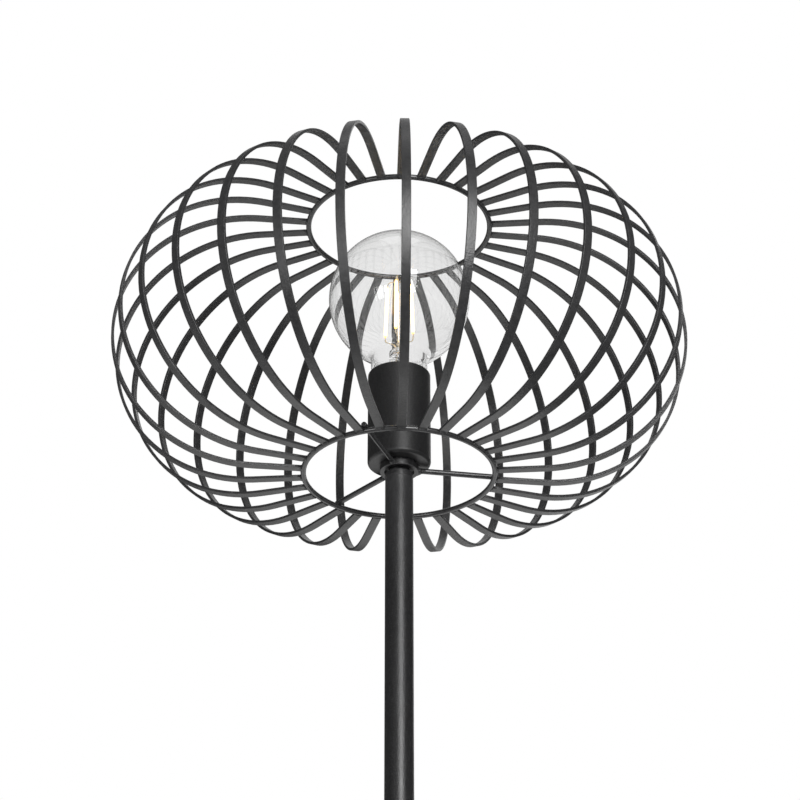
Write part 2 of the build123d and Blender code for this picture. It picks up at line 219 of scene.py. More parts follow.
class Effects:
    """The shader node groups that several finishes share, each built once."""

    EDGE = "edge"
    SLOW_SCALE = 0.22
    CLOUD_SCALE = 0.02
    STAIN_SCALE = 0.05
    PITS = (0.55, 0.1)
    # where noise breaks up the painted edge highlight
    HIGHLIGHT_BREAKS = (0.35, 0.7)
    UPWARDS = (0.5, 1.0)
    PATCHES = (0.3, 0.75)
    STAINS = (0.45, 0.8)
    LINE_STRETCH = (0.05, 0.05, 1.0)

    def __init__(self) -> None:
        """Build all groups."""
        self.grain = self._grain()
        self.edge_light = self._edge_light()
        self.dust = self._dust()
        self.brushing = self._brushing()

    def _grain(self) -> Tree:
        """Fine bumps with pits and slow waves, as on powder coat or cast plastic."""
        values = {"Scale": 1200.0, "Waves": 0.4, "Contrast": 0.5}
        nodes = Effect("surface_grain", values, ("Height", "Speckle", "Cloud"))
        where, scale = nodes.where, nodes.scale
        fine = nodes.noise(where, scale, 2.0, Roughness=0.6)
        slow = nodes.noise(where, nodes.times(scale, self.SLOW_SCALE), 1.0)
        height = nodes.math("ADD", fine, nodes.times(slow, nodes.given["Waves"]))
        pits = nodes.add("ShaderNodeTexVoronoi", {"Vector": where, "Scale": scale}).outputs["Distance"]
        speckle = nodes.times(nodes.ramp(pits, *self.PITS), nodes.given["Contrast"])
        cloud = nodes.noise(where, nodes.times(scale, self.CLOUD_SCALE), 3.0)
        return nodes.give(Height=height, Speckle=speckle, Cloud=cloud)

    def _edge_light(self) -> Tree:
        """Painted highlight along bent edges, broken up by noise; reads the edge attribute."""
        nodes = Effect("edge_light", {"Scale": 260.0, "Break Up": 0.5}, ("Mask",))
        edge = nodes.add("ShaderNodeAttribute", attribute_name=self.EDGE).outputs["Fac"]
        highlight_breaks = nodes.ramp(nodes.noise(nodes.where, nodes.scale, 3.0), *self.HIGHLIGHT_BREAKS)
        kept = nodes.math("SUBTRACT", 1.0, nodes.times(highlight_breaks, nodes.given["Break Up"]))
        return nodes.give(Mask=nodes.times(edge, kept, clamp=True))

    def _dust(self) -> Tree:
        """Dust that settles on faces that look up."""
        nodes = Effect("settled_dust", {"Scale": 300.0, "Amount": 0.2}, ("Mask",))
        normal = nodes.add("ShaderNodeNewGeometry").outputs["Normal"]
        facing = nodes.ramp(nodes.add("ShaderNodeSeparateXYZ", {0: normal}).outputs["Z"], *self.UPWARDS)
        patches = nodes.ramp(nodes.noise(nodes.where, nodes.scale, 4.0), *self.PATCHES)
        return nodes.give(Mask=nodes.times(nodes.times(facing, patches), nodes.given["Amount"], clamp=True))

    def _brushing(self) -> Tree:
        """Fine turning lines round the lamp's axis, as on drawn or turned metal."""
        nodes = Effect("turning_lines", {"Scale": 3000.0}, ("Height", "Tarnish"))
        laid = nodes.add("ShaderNodeMapping", {"Vector": nodes.where, "Scale": self.LINE_STRETCH})
        lines = nodes.noise(laid.outputs[0], nodes.scale, 2.0)
        stain = nodes.noise(nodes.where, nodes.times(nodes.scale, self.STAIN_SCALE), 4.0)
        return nodes.give(Height=lines, Tarnish=nodes.ramp(stain, *self.STAINS))


effects = Effects()


# ------------------------------------------------------------------- finishes
@dataclass(frozen=True)
class Finish:
    """What every finish has: its material's name, colour, shine and record slot."""

    name: str
    colour: Triple
    roughness: float
    slot: str

    def material(self) -> Material:
        """Return the finish's material, building it the first time."""
        made = bpy.data.materials.get(self.name)
        if made is None:
            made = bpy.data.materials.new(self.name)
            nodes = Surface(made)
            nodes.paint({"Roughness": self.roughness, "Base Color": (*self.colour, 1.0)})
            self.dress(nodes)
            made.diffuse_color = (*self.colour, 1.0)
        return made

    def dress(self, nodes: Surface) -> None:
        """Add what is particular to this finish; a plain finish adds nothing."""


@dataclass(frozen=True)
class Grained(Finish):
    """A finish with a fine grain in its skin."""

    grain_scale: float = 900.0
    grain_depth: float = 0.01 * MM
    grain_waves: float = 0.6
    grain_contrast: float = 0.3

    def grain(self, nodes: Surface) -> bpy.types.NodeOutputs:
        """Raise the grain on the surface.

        Args:
            nodes: the material's nodes.

        Returns:
            The grain's outputs, for colour and shine.
        """
        values = {"Scale": self.grain_scale, "Waves": self.grain_waves, "Contrast": self.grain_contrast}
        grain = nodes.use(effects.grain, **values)
        nodes.bump(grain["Height"], self.grain_depth)
        return grain


@dataclass(frozen=True)
class PowderCoat(Grained):
    """Baked powder coat: fine grain, a painted highlight along bent edges, a little dust."""

    # the edge colour is a highlight painted along bent edges
    edge_highlight_colour: Triple = (0.028, 0.028, 0.029)
    speckle_colour: Triple = (0.032, 0.032, 0.033)
    dust_colour: Triple = (0.12, 0.118, 0.115)
    grain_scale: float = 950.0
    grain_depth: float = 0.2 * MM
    grain_waves: float = 0.35
    grain_contrast: float = 0.5
    edge_scale: float = 240.0
    edge_gaps: float = 0.45
    dust: float = 0.12
    dust_scale: float = 320.0
    dust_dulls: float = 0.4
    clouds: Point = (0.3, 0.7)
    shine_spread: Point = (-0.04, 0.05)
    specular: float = 0.5

    def dress(self, nodes: Surface) -> None:
        """Put grain in bump and shine, and a painted edge highlight and dust in the colour.

        Args:
            nodes: the material's nodes.
        """
        grain = self.grain(nodes)
        # a painted highlight along bent edges, from the edge attribute
        edge = nodes.use(effects.edge_light, Scale=self.edge_scale, Break_Up=self.edge_gaps)["Mask"]
        dust = nodes.use(effects.dust, Scale=self.dust_scale, Amount=self.dust)["Mask"]
        colour = nodes.blend(grain["Speckle"], self.colour, self.speckle_colour)
        colour = nodes.blend(dust, nodes.blend(edge, colour, self.edge_highlight_colour), self.dust_colour)
        shine = [self.roughness + change for change in self.shine_spread]
        cloud = nodes.ramp(grain["Cloud"], *self.clouds, *shine)
        rough = nodes.plus(cloud, nodes.times(dust, self.dust_dulls))
        nodes.paint({"Base Color": colour, "Roughness": rough, "Specular IOR Level": self.specular})


@dataclass(frozen=True)
class ClearGlass(Finish):
    """Clear glass that takes off a little light along its depth."""

    loss: float = 80.0
    index: float = 1.5
    # grey of the painted shade at the outline, and the facing range over which it comes in
    outline_shade_colour: Triple = (0.3, 0.3, 0.27)
    outline_shade_range: Point = (0.84, 0.93)

    def dress(self, nodes: Surface) -> None:
        """Let light through, with a painted grey shade towards the outline, and plain absorption in the wall.

        Args:
            nodes: the material's nodes.
        """
        # painted shade: the base colour turns grey where the glass faces away from the view
        facing = nodes.add("ShaderNodeLayerWeight", {"Blend": 0.5}).outputs["Facing"]
        rim = nodes.blend(nodes.ramp(facing, *self.outline_shade_range), WHITE[:3], self.outline_shade_colour)
        nodes.paint({"Base Color": rim, "Transmission Weight": 1.0, "IOR": self.index})
        inside = {"Density": self.loss, "Color": (*self.colour, 1.0)}
        nodes.feed(nodes.output, {"Volume": nodes.add("ShaderNodeVolumeAbsorption", inside).outputs[0]})


@dataclass(frozen=True)
class BareMetal(Finish):
    """Turned, drawn or plated metal with lines and light tarnish."""

    tarnish_colour: Triple = (0.3, 0.28, 0.24)
    tarnish: float = 0.35
    tarnish_dulls: float = 0.5
    lines: float = 2500.0
    depth: float = 0.004 * MM

    def dress(self, nodes: Surface) -> None:
        """Make it metal with fine lines and a duller film in patches.

        Args:
            nodes: the material's nodes.
        """
        lines = nodes.use(effects.brushing, Scale=self.lines)
        film = nodes.times(lines["Tarnish"], self.tarnish)
        colour = nodes.blend(film, self.colour, self.tarnish_colour)
        rough = nodes.plus(self.roughness, nodes.times(film, self.tarnish_dulls))
        nodes.paint({"Metallic": 1.0, "Base Color": colour, "Roughness": rough})
        nodes.bump(lines["Height"], self.depth)


@dataclass(frozen=True)
class Moulded(Grained):
    """Moulded plastic, rubber or ceramic: a fine skin with slow clouds."""

    speckle_dulls: float = 0.15
    cloud_colour: Triple = (0.05, 0.05, 0.05)
    clouds: Point = (0.35, 0.75)
    cloud: float = 0.4

    def dress(self, nodes: Surface) -> None:
        """Cloud the colour and lay a fine skin over it.

        Args:
            nodes: the material's nodes.
        """
        grain = self.grain(nodes)
        cloud = nodes.times(nodes.ramp(grain["Cloud"], *self.clouds), self.cloud)
        rough = nodes.plus(self.roughness, nodes.times(grain["Speckle"], self.speckle_dulls))
        nodes.paint({"Base Color": nodes.blend(cloud, self.colour, self.cloud_colour), "Roughness": rough})


@dataclass(frozen=True)
class PressedFelt(Finish):
    """Pressed felt: short fibres in every direction."""

    fibre_colour: Triple = (0.1, 0.1, 0.1)
    fibre_turns: Point = (0.4, 1.9)
    fibre_lean: float = 0.3
    fibre_stretch: Triple = (1.0, 7.0, 3.0)
    fibre_scale: float = 420.0
    fibre_bend: float = 1.4
    fibre_range: Point = (0.45, 0.8)
    sheen: float = 0.3
    depth: float = 0.25 * MM

    def dress(self, nodes: Surface) -> None:
        """Lay two crossed sets of stretched noise as fibres.

        Args:
            nodes: the material's nodes.
        """
        heights = []
        for turn in self.fibre_turns:
            way = {"Rotation": (self.fibre_lean, 0.0, turn), "Scale": self.fibre_stretch}
            laid = nodes.add("ShaderNodeMapping", {"Vector": nodes.where, **way}).outputs[0]
            heights.append(nodes.noise(laid, self.fibre_scale, 4.0, Distortion=self.fibre_bend))
        fibres = nodes.math("MAXIMUM", *heights)
        colour = nodes.blend(nodes.ramp(fibres, *self.fibre_range), self.colour, self.fibre_colour)
        nodes.paint({"Base Color": colour, "Sheen Weight": self.sheen})
        nodes.bump(fibres, self.depth)


@dataclass(frozen=True)
class GlowingPhosphor(Grained):
    """Lit phosphor coat of a filament, deeper in colour towards its ends."""

    grain_scale: float = 1600.0
    grain_depth: float = 0.03 * MM
    grain_waves: float = 0.5
    grain_contrast: float = 0.4
    glow: Triple = (1.0, 0.7, 0.34)
    end_glow: Triple = (1.0, 0.42, 0.08)
    strength: float = 4.0
    fade: float = 2.4 * MM

    def dress(self, nodes: Surface) -> None:
        """Let it glow, fullest in the middle of each filament.

        Args:
            nodes: the material's nodes.
        """
        foot, head = [corner.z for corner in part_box("led_filaments")]
        height = nodes.add("ShaderNodeSeparateXYZ", {0: nodes.where}).outputs["Z"]
        from_foot = nodes.ramp(height, foot, foot + self.fade)
        middle = nodes.times(from_foot, nodes.ramp(height, head, head - self.fade))
        colour = nodes.blend(middle, self.end_glow, self.glow)
        nodes.paint({"Emission Color": colour, "Emission Strength": self.strength})
        self.grain(nodes)


class Finishes(Enum):
    """Every finish on the lamp."""

    COAT = PowderCoat("satin_black_coat", (0.006, 0.006, 0.0063), 0.33, "black_coat")
    HOLDER_COAT = PowderCoat(
        "matt_black_holder_coat", (0.006, 0.006, 0.0063), 0.43, "black_coat",
        grain_depth=0.09 * MM, grain_scale=1050.0,
    )
    WIRE_COAT = PowderCoat(
        "satin_black_wire_coat", (0.006, 0.006, 0.0062), 0.22, "black_coat", grain_depth=0.03 * MM
    )
    BASE_COAT = PowderCoat("satin_black_base_coat", (0.013, 0.013, 0.0135), 0.46, "black_coat", dust=0.3)
    GLOBE = ClearGlass("clear_globe_glass", (0.1, 0.1, 0.09), 0.0, "clear_glass", loss=110.0)
    STEM = ClearGlass("clear_stem_glass", (0.2, 0.17, 0.1), 0.02, "clear_glass", loss=12.0)
    CAP = BareMetal("plated_cap_metal", (0.72, 0.71, 0.69), 0.24, "cap_metal")
    BRASS = BareMetal("pressed_brass", (0.72, 0.52, 0.22), 0.3, "brass", tarnish_colour=(0.35, 0.22, 0.1))
    ZINC = BareMetal("zinc_plate", (0.62, 0.63, 0.65), 0.35, "zinc")
    SOLDER = BareMetal("tip_solder", (0.6, 0.6, 0.6), 0.4, "solder", lines=900.0)
    SUPPORT = BareMetal("pale_gold_support_wire", (0.8, 0.7, 0.52), 0.22, "support_metal", lines=4000.0)
    PHENOLIC = Moulded("black_phenolic", (0.02, 0.019, 0.018), 0.38, "phenolic")
    CERAMIC = Moulded("glazed_ceramic", (0.82, 0.8, 0.75), 0.2, "ceramic", cloud_colour=(0.7, 0.66, 0.58))
    RUBBER = Moulded("black_rubber", (0.018, 0.018, 0.018), 0.62, "rubber_black", grain_depth=0.02 * MM)
    SHEATH = Moulded("lead_sheath_rubber", (0.022, 0.022, 0.023), 0.55, "lead_sheath")
    CORES = Moulded(
        "blue_core_insulation", (0.03, 0.07, 0.34), 0.4, "core_insulation", cloud_colour=(0.02, 0.05, 0.25)
    )
    BLACK_GLASS = Moulded(
        "black_cap_glass", (0.012, 0.012, 0.014), 0.08, "black_glass", grain_depth=0.004 * MM
    )
    BOARD = Moulded("green_board", (0.03, 0.16, 0.07), 0.45, "board", cloud_colour=(0.02, 0.1, 0.05))
    FELT = PressedFelt("pressed_black_felt", (0.02, 0.02, 0.021), 0.95, "felt")
    PHOSPHOR = GlowingPhosphor("lit_filament_phosphor", (0.95, 0.72, 0.28), 0.5, "filament")

    def apply(self, piece: Piece) -> None:
        """Put the material in a piece's slots.

        Args:
            piece: the piece to finish.
        """
        made = self.value.material()
        if not piece.material_slots:
            piece.data.materials.append(made)
        for slot in piece.material_slots:
            slot.material = made


# ------------------------------------------------------------------ mesh help
@dataclass(frozen=True)
class Envelope:
    """Where a turned CAD node lies on the lamp's axis."""

    radius: float
    bottom: float
    top: float

    @classmethod
    def of(cls, node: str) -> "Envelope":
        """Read a node's outer radius and its two heights from the frame."""
        low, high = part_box(node)
        return cls((high.x - low.x) / 2, low.z, high.z)

    @property
    def middle(self) -> float:
        """Height halfway up."""
        return (self.top + self.bottom) / 2

    def level(self, share: float) -> float:
        """Height at a share of the way up."""
        return self.bottom + (self.top - self.bottom) * share


def linked(name: str, data: bpy.types.ID) -> Piece:
    """Link data to the scene as an object at the origin.

    Args:
        name: the object's name.
        data: its mesh, curve, light or camera.

    Returns:
        The new object.
    """
    made = bpy.data.objects.new(name, data)
    bpy.context.scene.collection.objects.link(made)
    return made


def cast(name: str, work: Work) -> Piece:
    """Turn a worked mesh into an object and free it.

    Args:
        name: name of the object and its mesh.
        work: the mesh in work.

    Returns:
        The new object.
    """
    mesh = bpy.data.meshes.new(name)
    work.to_mesh(mesh)
    work.free()
    return linked(name, mesh)


def plain(piece: Piece) -> Piece:
    """Turn an object with its modifiers into a plain mesh object.

    Args:
        piece: an object whose modifiers finish its shape; it is removed.

    Returns:
        A new object of the same name at the origin, without modifiers.
    """
    graph = bpy.context.evaluated_depsgraph_get()
    mesh = bpy.data.meshes.new_from_object(piece.evaluated_get(graph), depsgraph=graph)
    name = piece.name
    bpy.data.objects.remove(piece)
    mesh.name = name
    return linked(name, mesh)


def mark_edges(mesh: bpy.types.Mesh, low_deg: float = 9.0, high_deg: float = 18.0) -> None:
    """Store how sharply each vertex's faces turn, for the painted edge highlight of a coat.

    Args:
        mesh: the finished mesh.
        low_deg: a turn up to this angle counts as no edge.
        high_deg: a turn from this angle counts as a full edge.
    """
    work = bmesh.new()
    work.from_mesh(mesh)
    turns = [0.0] * len(work.verts)
    for edge in work.edges:
        if len(edge.link_faces) == 2:
            angle = math.degrees(edge.calc_face_angle(0.0))
            for vertex in edge.verts:
                turns[vertex.index] = max(turns[vertex.index], angle)
    work.free()
    values = [min(max((turn - low_deg) / (high_deg - low_deg), 0.0), 1.0) for turn in turns]
    mesh.attributes.new(Effects.EDGE, "FLOAT", "POINT").data.foreach_set("value", values)


def weighted(piece: Piece) -> Piece:
    """Shade a piece smoothly with flat faces kept flat, and mark its edges.

    Args:
        piece: the piece; it is replaced.

    Returns:
        The shaded piece.
    """
    for polygon in piece.data.polygons:
        polygon.use_smooth = True
    piece.modifiers.new("flat_faces", "WEIGHTED_NORMAL").weight = 100
    made = plain(piece)
    mark_edges(made.data)
    return made


def rounded(corners: list[Triple], steps: int = 5) -> list[Point]:
    """Round the corners of an outline.

    Args:
        corners: (radius, height, rounding) of each corner, in order round the outline.
        steps: faces across each rounding.

    Returns:
        Points of the rounded outline.
    """
    points: list[Point] = []
    for index, (r, z, rounding) in enumerate(corners):
        here = Vector((r, z))
        before = Vector(corners[index - 1][:2]) - here
        after = Vector(corners[(index + 1) % len(corners)][:2]) - here
        if rounding <= 0 or before.length == 0 or after.length == 0:
            points.append((r, z))
            continue
        before.normalize()
        after.normalize()
        half = before.angle(after) / 2
        reach = rounding / math.tan(half)
        middle = here + (before + after).normalized() * (rounding / math.sin(half))
        start, end = here + before * reach - middle, here + after * reach - middle
        for step in range(steps + 1):
            swept = start.slerp(end, step / steps) * start.length
            points.append((middle.x + swept.x, middle.y + swept.y))
    return points


def arc(centre: Point, radius: float, start_deg: float, end_deg: float, steps: int) -> list[Point]:
    """Lay points on an arc from one angle to another."""
    turns = [math.radians(start_deg + (end_deg - start_deg) * step / steps) for step in range(steps + 1)]
    return [(centre[0] + radius * math.cos(a), centre[1] + radius * math.sin(a)) for a in turns]


@dataclass(frozen=True)
class Thread:
    """A rolled right-hand thread that draws a turned wall in at its roots."""

    pitch: float
    height: float
    low: float
    high: float

    def depth(self, angle: float, z: float) -> float:
        """How far the wall is drawn in at an angle and a height; less near the thread's ends."""
        fade = min(max(min(z - self.low, self.high - z) / self.pitch * 2, 0.0), 1.0)
        return self.height * (0.5 - 0.5 * math.cos(TAU * z / self.pitch - angle)) * fade


def lathe(name: str, outline: list[Point], segments: int = 96, thread: Thread | None = None) -> Piece:
    """Turn a closed outline about the lamp's axis.

    Args:
        name: the piece's name.
        outline: (radius, height) points; points on the axis become poles.
        segments: faces round the axis.
        thread: the thread that is rolled into the wall.

    Returns:
        A closed, smooth-shaded object.
    """
    work = bmesh.new()
    turns = [TAU * k / segments for k in range(segments)]
    rings = []
    for r, z in outline:
        radii = [r - thread.depth(a, z) if thread else r for a in turns[: segments if r >= SAME_PLACE else 1]]
        rings.append([work.verts.new((s * math.cos(a), s * math.sin(a), z)) for s, a in zip(radii, turns)])
    for lower, upper in zip(rings, rings[1:] + rings[:1]):
        for k in range(segments):
            after = (k + 1) % segments
            low, high = [(ring[k % len(ring)], ring[after % len(ring)]) for ring in (lower, upper)]
            unique = list(dict.fromkeys((*low, *reversed(high))))
            if len(unique) >= 3:
                work.faces.new(unique)
    bmesh.ops.remove_doubles(work, verts=work.verts, dist=SAME_PLACE)
    bmesh.ops.recalc_face_normals(work, faces=work.faces)
    return weighted(cast(name, work))


def smooth_path(points: list[Triple], steps: int = 6) -> list[Vector]:
    """Lay a smooth line through given points.

    Args:
        points: the points.
        steps: steps from each point to the next.

    Returns:
        Points of the line.
    """
    knots = [Vector(p) for p in points]
    knots = [2 * knots[0] - knots[1], *knots, 2 * knots[-1] - knots[-2]]
    found = []
    for a, b, c, d in zip(knots, knots[1:], knots[2:], knots[3:]):
        bend, twist = 2 * a - 5 * b + 4 * c - d, 3 * b - a - 3 * c + d
        for t in (step / steps for step in range(steps)):
            found.append(0.5 * (2 * b + (c - a) * t + bend * t**2 + twist * t**3))
    return found + [knots[-2]]


class StockSweep:
    """Geometry Nodes: rounded stock along a path, repeated about the lamp's axis."""

    SIZES = {
        "Width": "Float", "Thickness": "Float", "Edge Radius": "Float", "Edge Steps": "Int",
        "Count": "Int", "Phase": "Float", "Finish": "Material",
    }
    ROUND = 0.4999  # share of the width that rounds a square section to a circle

    def __init__(self) -> None:
        """Build the tree once."""
        self.tree = bpy.data.node_groups.new("swept_stock", "GeometryNodeTree")
        face = self.tree.interface
        face.new_socket("Path", in_out="INPUT", socket_type="NodeSocketGeometry")
        for label, kind in self.SIZES.items():
            face.new_socket(label, in_out="INPUT", socket_type=f"NodeSocket{kind}")
        face.new_socket("Stock", in_out="OUTPUT", socket_type="NodeSocketGeometry")
        self.sockets = {item.name: item.identifier for item in face.items_tree if item.in_out == "INPUT"}
        nodes = Wiring(self.tree)
        given = nodes.add("NodeGroupInput").outputs

        def made(kind: str, inputs: dict | None = None, **settings: str) -> Socket:
            """Add a geometry node and return its first output."""
            return nodes.add(f"GeometryNode{kind}", inputs, **settings).outputs[0]

        section = made("CurvePrimitiveQuadrilateral", {"Width": given["Width"], "Height": given["Thickness"]})
        rounding = {"Count": given["Edge Steps"], "Radius": given["Edge Radius"], "Limit Radius": True}
        section = made("FilletCurve", {"Curve": section, **rounding}, mode="POLY")
        sweep = {"Curve": given["Path"], "Profile Curve": section, "Scale": made("InputRadius")}
        swept = made("CurveToMesh", {**sweep, "Fill Caps": True})
        places = made("Points", {"Count": given["Count"], "Position": (0.0, 0.0, 0.0)})
        turn = nodes.times(made("InputIndex"), nodes.math("DIVIDE", TAU, given["Count"]))
        turn = nodes.add("ShaderNodeCombineXYZ", {"Z": nodes.math("ADD", turn, given["Phase"])}).outputs[0]
        copies = made("InstanceOnPoints", {"Points": places, "Instance": swept, "Rotation": turn})
        real = made("RealizeInstances", {"Geometry": copies})
        coated = made("SetMaterial", {"Geometry": real, "Material": given["Finish"]})
        nodes.add("NodeGroupOutput", {0: coated})

    def make(
        self,
        name: str,
        path: list[Vector],
        material: Material,
        width: float,
        thickness: float | None = None,
        edge_radius: float | None = None,
        edge_steps: int = 3,
        count: int = 1,
        phase: float = 0.0,
        cyclic: bool = False,
        tapers: dict[int, float] | None = None,
    ) -> Piece:
        """Sweep stock along a path and repeat it.

        Args:
            name: the piece's name.
            path: points of the first copy's path.
            material: the piece's material.
            width: the section's width, or a wire's diameter.
            thickness: the section's thickness; a round wire has none.
            edge_radius: rounding of the section's corners.
            edge_steps: faces across each rounding.
            count: copies round the axis.
            phase: turn of the first copy, in radians.
            cyclic: whether the path closes on itself.
            tapers: share of the section at points of the path, by index.

        Returns:
            A plain mesh object at the origin.
        """
        curve = bpy.data.curves.new(name, "CURVE")
        curve.dimensions = "3D"
        spline = curve.splines.new("POLY")
        spline.points.add(len(path) - 1)
        for index, (knot, place) in enumerate(zip(spline.points, path)):
            knot.co = (*place, 1.0)
            knot.radius = (tapers or {}).get(index, 1.0)
        spline.use_cyclic_u = cyclic
        piece = linked(name, curve)
        modifier = piece.modifiers.new("swept_stock", "NODES")
        modifier.node_group = self.tree
        thickness = width if thickness is None else thickness
        edge_radius = min(width, thickness) * self.ROUND if edge_radius is None else edge_radius
        values = (width, thickness, edge_radius, edge_steps, count, phase, material)
        for label, value in zip(self.SIZES, values):
            modifier[self.sockets[label]] = value
        return weighted(plain(piece))


stock = StockSweep()


def softened(name: str, node: str, width: float, steps: int = 2) -> Piece:
    """Copy a CAD node, merge it and break its sharp edges.

    Args:
        name: the piece's name.
        node: the CAD node to copy.
        width: width of the broken edges.
        steps: faces across them.

    Returns:
        A plain mesh object at the origin.
    """
    work = bmesh.new()
    work.from_mesh(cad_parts[node].data)
    bmesh.ops.remove_doubles(work, verts=work.verts, dist=1e-6)
    bmesh.ops.dissolve_limit(work, angle_limit=math.radians(1.0), verts=work.verts, edges=work.edges)
    piece = cast(name, work)
    bevel = piece.modifiers.new("broken_edges", "BEVEL")
    bevel.width, bevel.segments, bevel.limit_method = width, steps, "ANGLE"
    bevel.angle_limit = math.radians(35)
    return weighted(plain(piece))


# --------------------------------------------------------------------- pieces
class Assembly:
    """A sub-assembly of the lamp; its pieces ride on one body."""

    BODY = "stand"

    def keep(self, piece: Piece, finish: Finishes, *nodes: str) -> None:
        """Finish a piece, let it ride on the body and stand for its CAD nodes, and log it.

        Args:
            piece: the piece's finished mesh.
            finish: its finish.
            nodes: the CAD nodes that it replaces.
        """
        finish.apply(piece)
        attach(piece, self.BODY)
        if nodes:
            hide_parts(*nodes)
        log.info("%s on %s: %d faces", piece.name, self.BODY, len(piece.data.polygons))

    def sweep(
        self, name: str, nodes: list[str], finish: Finishes, path: list[Vector], width: float, **more: object
    ) -> None:
        """Sweep a piece along a path; more is as for StockSweep.make."""
        self.keep(stock.make(name, path, finish.value.material(), width, **more), finish, *nodes)

    def turn(
        self, name: str, node: str, finish: Finishes, corners: list[Triple],
        steps: int = 5, segments: int = 96,
    ) -> None:
        """Turn a piece from the (radius, height, rounding) corners of its half section."""
        self.keep(lathe(name, rounded(corners, steps), segments), finish, node)


@dataclass
class Cage(Assembly):
    """Thirty bent strips between two wire rings."""

    rib_count: int = 30
    rib_width: float = 6 * MM
    rib_thickness: float = 2 * MM
    edge_radius: float = 0.3 * MM
    phase: float = math.radians(1.3 - 90)
    arc_steps: int = 60
    run_steps: int = 4
    ring_steps: int = 180
    bead_radius: float = 0.75 * MM
    bead_length: float = 5.0 * MM
    bead_stops: tuple[float, ...] = (-0.5, -0.42, -0.2, 0.05, 0.25, 0.43, 0.5)
    bead_stands_out: float = 0.25

    def __post_init__(self) -> None:
        """Read where rings and ribs are."""
        low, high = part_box("cage_ribs")
        upper = Envelope.of("cage_ring_upper")
        self.upper_z, self.lower_z = upper.middle, Envelope.of("cage_ring_lower").middle
        self.wire = upper.top - upper.bottom
        self.ring_radius = upper.radius - self.wire / 2
        self.reach = (high.y - low.y) / 2 - self.rib_thickness / 2

    def ribs(self) -> None:
        """Sweep and repeat the strips: flat run, half circle, flat run."""
        radius = (self.upper_z - self.lower_z) / 2
        centre = (self.reach - radius, (self.upper_z + self.lower_z) / 2)
        shares = [k / self.run_steps for k in range(self.run_steps)]
        run = [self.ring_radius + (centre[0] - self.ring_radius) * share for share in shares]
        bend = arc(centre, radius, 90, -90, self.arc_steps)
        flat = [(r, self.upper_z) for r in run] + bend + [(r, self.lower_z) for r in reversed(run)]
        path = [Vector((r, 0, z)) for r, z in flat]
        self.sweep(
            "cage_strips", ["cage_ribs"], Finishes.COAT, path, self.rib_width, thickness=self.rib_thickness,
            edge_radius=self.edge_radius, count=self.rib_count, phase=self.phase,
        )

    def ring(self, name: str, node: str, height: float) -> None:
        """Sweep one closed ring of wire at a height."""
        path = [Vector((*place, height)) for place in arc((0, 0), self.ring_radius, 0, 360, self.ring_steps)]
        self.sweep(name, [node], Finishes.WIRE_COAT, path[:-1], self.wire, edge_steps=5, cyclic=True)

    def beads(self) -> None:
        """Lay the small welds where each strip meets a ring."""
        seam = self.rib_thickness / 2
        out = self.ring_radius + math.sqrt((self.wire / 2) ** 2 - seam**2)
        out += self.bead_radius * self.bead_stands_out
        tapers = {0: 0.35, 1: 0.85, 3: 1.12, 5: 0.8, 6: 0.35}
        for label, height in (("upper", self.upper_z), ("lower", self.lower_z)):
            for side, level in (("over", seam), ("under", -seam)):
                path = [Vector((out, stop * self.bead_length, height + level)) for stop in self.bead_stops]
                self.sweep(
                    f"welds_{label}_{side}", [], Finishes.COAT, path, 2 * self.bead_radius,
                    edge_steps=2, count=self.rib_count, phase=self.phase, tapers=tapers,
                )

    def build(self) -> None:
        """Build all of the cage."""
        self.ribs()
        self.ring("upper_ring_wire", "cage_ring_upper", self.upper_z)
        self.ring("lower_ring_wire", "cage_ring_lower", self.lower_z)
        self.beads()


@dataclass
class Spider(Assembly):
    """Three rods, the hub that they carry and the spacer on it."""

    rod_count: int = 3
    rod_wire: float = 3.8 * MM
    rod_overlap: float = 1.5 * MM
    phase: float = math.radians(-20 - 90)
    weld_stops: tuple[float, ...] = (-0.8 * MM, 0.0, 0.6 * MM, 1.3 * MM, 1.9 * MM)
    weld_swell: float = 1.12
    recess_radius: float = 10 * MM
    recess_depth: float = 2.9 * MM
    hole_radius: float = 5.5 * MM
    edge: float = 0.5 * MM

    def rods(self) -> None:
        """Sweep the rods, with eased tips past the ring, and the weld at each root."""
        level, hub = Envelope.of("spider_rods").middle, Envelope.of("spider_hub").radius
        tip = Envelope.of("cage_ring_lower").radius + self.rod_overlap
        rods = (hub - 1.5 * MM, hub + 6 * MM, tip - 8 * MM, tip - 0.7 * MM, tip - 0.25 * MM, tip)
        welds = [hub + stop for stop in self.weld_stops]
        for name, nodes, finish, stops, width, steps, tapers in (
            ("spider_wires", ["spider_rods"], Finishes.WIRE_COAT, rods, 1.0, 6, {4: 0.93, 5: 0.75}),
            ("hub_welds", [], Finishes.COAT, welds, self.weld_swell, 5, {0: 1.1, 1: 1.12, 3: 0.93, 4: 0.86}),
        ):
            self.sweep(
                name, nodes, finish, [Vector((r, 0, level)) for r in stops], self.rod_wire * width,
                edge_steps=steps, count=self.rod_count, phase=self.phase, tapers=tapers,
            )

    def hub(self) -> None:
        """Turn the hub with its recess."""
        it, e = Envelope.of("spider_hub"), self.edge
        seat = it.bottom + self.recess_depth
        self.turn("spider_hub_washer", "spider_hub", Finishes.COAT, [
            (self.hole_radius, it.top, 0), (it.radius, it.top, e), (it.radius, it.bottom, e),
            (self.recess_radius, it.bottom, e), (self.recess_radius, seat, 0), (self.hole_radius, seat, 0),
        ])

    def spacer(self) -> None:
        """Turn the spacer between hub and cover."""
        it, e = Envelope.of("hub_spacer"), self.edge
        self.turn("cover_spacer", "hub_spacer", Finishes.COAT, [
            (self.hole_radius, it.top, 0), (it.radius, it.top, e),
            (it.radius, it.bottom, e), (self.hole_radius, it.bottom, 0),
        ])

    def build(self) -> None:
        """Build all of the spider."""
        self.rods()
        self.hub()
        self.spacer()


